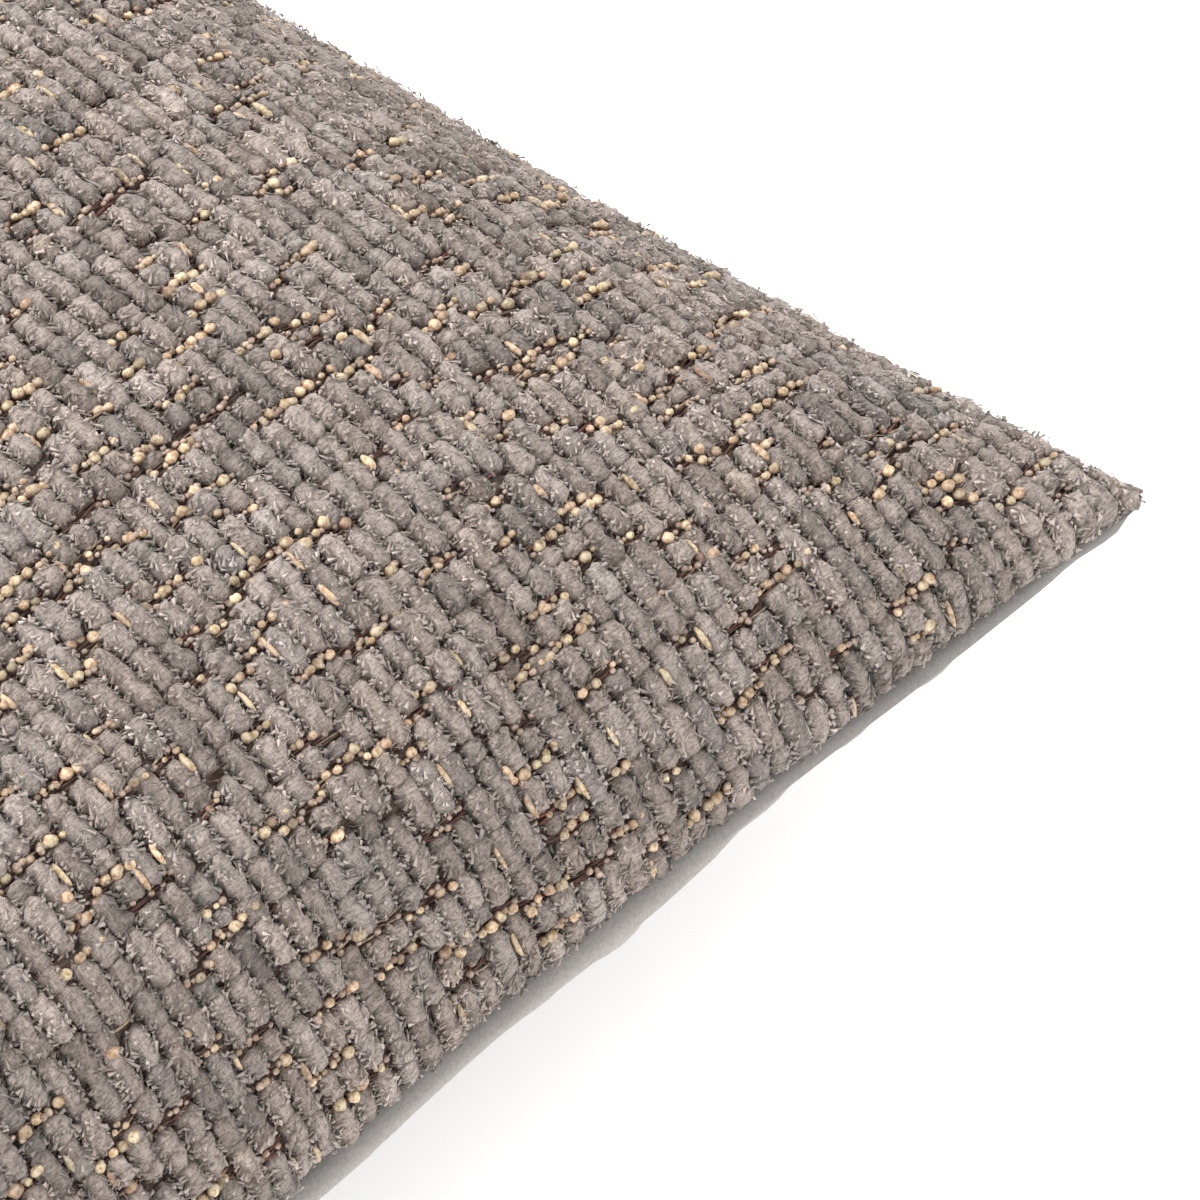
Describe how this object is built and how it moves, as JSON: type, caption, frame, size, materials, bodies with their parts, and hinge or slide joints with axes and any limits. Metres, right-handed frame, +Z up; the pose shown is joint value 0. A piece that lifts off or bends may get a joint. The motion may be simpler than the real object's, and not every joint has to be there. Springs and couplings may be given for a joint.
{
  "type": "throw pillow",
  "caption": "Square throw pillow lying on its back, with a ribbed chenille front, a plain back, a concealed zip in one side seam and a filled insert inside.",
  "frame": {"origin": "on the surface the pillow lies on, below the middle of the square", "axes": "+Z up out of the chenille front, +X along the zip towards its closed end, the zip on the -Y side"},
  "size_m": [0.457, 0.457, 0.128],
  "materials": {
    "chenille": "plush chenille weft over thin brown warps with small straw-coloured slubs, ribbed across",
    "back_fabric": "plain close-woven light grey back",
    "sewing_thread": "twisted polyester sewing thread",
    "zip_tape": "woven polyester tape, matt",
    "zip_coil": "nylon coil, satin",
    "zip_metal": "enamelled zinc, satin",
    "casing_fabric": "white non-woven insert casing",
    "fibre": "white polyester fibre fill"
  },
  "bodies": {
    "cover": {"front_panel": "chenille", "back_panel": "back_fabric", "seam_thread": "sewing_thread", "overlock_thread": "sewing_thread", "zip_tape_front": "zip_tape", "zip_tape_back": "zip_tape", "zip_coil_front": "zip_coil", "zip_coil_back": "zip_coil", "zip_stitching_front": "sewing_thread", "zip_stitching_back": "sewing_thread", "zip_top_stop_front": "zip_metal", "zip_top_stop_back": "zip_metal", "zip_bottom_stop": "zip_metal", "insert_casing_top": "casing_fabric", "insert_casing_bottom": "casing_fabric", "insert_filling": "fibre", "insert_seam_thread": "sewing_thread", "insert_closing_stitch": "sewing_thread"},
    "slider": {"zip_slider": "zip_metal"},
    "pull": {"zip_pull": "zip_metal"}
  },
  "joints": [
    {"name": "zip_slide", "type": "slide", "parent": "cover", "child": "slider", "axis": [-1, 0, 0], "range_m": [0, 0.2902]},
    {"name": "pull_hinge", "type": "hinge", "parent": "slider", "child": "pull", "pos_m": [0.1451, -0.2204, 0.055], "axis": [0, 0, 1], "range_deg": [0, 180]}
  ]
}
